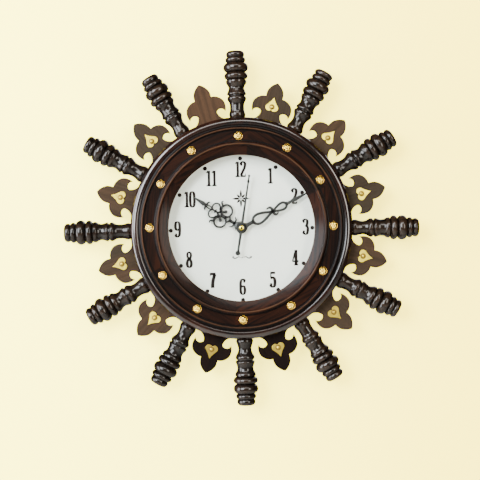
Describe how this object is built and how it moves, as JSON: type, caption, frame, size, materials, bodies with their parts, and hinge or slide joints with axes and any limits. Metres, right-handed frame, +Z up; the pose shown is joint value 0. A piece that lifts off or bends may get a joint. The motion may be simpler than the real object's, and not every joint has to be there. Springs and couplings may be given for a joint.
{
  "type": "sunburst wall clock",
  "caption": "Round wall clock: a turned wooden ring with radiating turned spindles and fretwork leaves, openwork hands and a battery movement.",
  "frame": {"origin": "on the wall plane, at the centre of the dial", "axes": "+Z up, -Y out of the wall towards the viewer, +X to the right of the viewer"},
  "size_m": [0.381, 0.04, 0.381],
  "materials": {
    "ring_wood": "glossy dark red-brown stain and lacquer",
    "spindle_wood": "high-gloss near-black brown lacquer",
    "fretwork_wood": "semi-matte brown, radial grain",
    "brass": "pressed brass, softly polished",
    "clear_glass": "clear flat glass",
    "spacer_plastic": "white matte strip",
    "dial_card": "off-white printed card, matte",
    "hardboard": "brown hardboard, rough at the back",
    "steel": "zinc-plated steel",
    "black_plastic": "black moulded plastic, fine texture",
    "black_rubber": "matte black rubber",
    "circuit_laminate": "green lacquered laminate",
    "copper_winding": "enamelled copper wire",
    "gear_plastic": "natural white acetal",
    "knob_plastic": "white moulded plastic",
    "cell_jacket": "plain printed jacket, no label",
    "black_hand": "black enamel on sheet metal"
  },
  "bodies": {
    "root": {"battery_contacts": "steel", "circuit_board": "circuit_laminate", "coil": "copper_winding", "dial": "dial_card", "dial_board": "hardboard", "fleur_01": "fretwork_wood", "fleur_02": "fretwork_wood", "fleur_03": "fretwork_wood", "fleur_04": "fretwork_wood", "fleur_05": "fretwork_wood", "fleur_06": "fretwork_wood", "fleur_07": "fretwork_wood", "fleur_08": "fretwork_wood", "fleur_09": "fretwork_wood", "fleur_10": "fretwork_wood", "fleur_11": "fretwork_wood", "fleur_12": "fretwork_wood", "glass": "clear_glass", "glass_spacer_ring": "spacer_plastic", "hanger_plate": "steel", "heart_pins": "brass", "heart_plates": "brass", "mounting_nut": "brass", "movement_case": "black_plastic", "movement_cover": "black_plastic", "ring_segment_1": "ring_wood", "ring_segment_2": "ring_wood", "ring_segment_3": "ring_wood", "ring_segment_4": "ring_wood", "ring_segment_5": "ring_wood", "ring_segment_6": "ring_wood", "ring_studs": "brass", "rubber_washer": "black_rubber", "screws": "steel", "spindle_01": "spindle_wood", "spindle_02": "spindle_wood", "spindle_03": "spindle_wood", "spindle_04": "spindle_wood", "spindle_05": "spindle_wood", "spindle_06": "spindle_wood", "spindle_07": "spindle_wood", "spindle_08": "spindle_wood", "spindle_09": "spindle_wood", "spindle_10": "spindle_wood", "spindle_11": "spindle_wood", "spindle_12": "spindle_wood", "stator": "steel"},
    "battery": {"aa_cell": "cell_jacket"},
    "seconds": {"seconds_hand": "black_hand", "seconds_wheel": "gear_plastic"},
    "rotor": {"rotor": "gear_plastic"},
    "intermediate": {"intermediate_wheel": "gear_plastic"},
    "third": {"third_wheel": "gear_plastic"},
    "centre": {"centre_wheel": "gear_plastic"},
    "minute": {"minute_hand": "black_hand", "cannon_pinion": "gear_plastic"},
    "minute_wheel": {"minute_wheel": "gear_plastic", "setting_knob": "knob_plastic"},
    "hour": {"hour_hand": "black_hand", "hour_wheel": "gear_plastic"}
  },
  "joints": [
    {"name": "seconds_spin", "type": "hinge", "parent": "root", "child": "seconds", "pos_m": [0, 0, 0], "axis": [0, 1, 0], "continuous": true},
    {"name": "rotor_spin", "type": "hinge", "parent": "root", "child": "rotor", "pos_m": [-0.01507, 0, 0.00404], "axis": [0, 1, 0], "continuous": true},
    {"name": "intermediate_spin", "type": "hinge", "parent": "root", "child": "intermediate", "pos_m": [-0.00811, 0, 0.00217], "axis": [0, 1, 0], "continuous": true},
    {"name": "third_spin", "type": "hinge", "parent": "root", "child": "third", "pos_m": [0.0051, 0, 0.00883], "axis": [0, 1, 0], "continuous": true},
    {"name": "centre_spin", "type": "hinge", "parent": "root", "child": "centre", "pos_m": [0, 0, 0], "axis": [0, 1, 0], "continuous": true},
    {"name": "minute_spin", "type": "hinge", "parent": "root", "child": "minute", "pos_m": [0, 0, 0], "axis": [0, 1, 0], "continuous": true},
    {"name": "minute_wheel_spin", "type": "hinge", "parent": "root", "child": "minute_wheel", "pos_m": [0.0086, 0, -0.00602], "axis": [0, 1, 0], "continuous": true},
    {"name": "hour_spin", "type": "hinge", "parent": "root", "child": "hour", "pos_m": [0, 0, 0], "axis": [0, 1, 0], "continuous": true},
    {"name": "battery_slide", "type": "slide", "parent": "root", "child": "battery", "axis": [0, 1, 0], "range_m": [0, 0.02]}
  ],
  "couplings": [
    {"joint": "rotor_spin", "follows": "seconds_spin", "ratio": 30},
    {"joint": "intermediate_spin", "follows": "seconds_spin", "ratio": -6},
    {"joint": "third_spin", "follows": "seconds_spin", "ratio": -0.13333},
    {"joint": "centre_spin", "follows": "seconds_spin", "ratio": 0.016667},
    {"joint": "minute_wheel_spin", "follows": "minute_spin", "ratio": -0.33333},
    {"joint": "hour_spin", "follows": "minute_spin", "ratio": 0.083333}
  ]
}
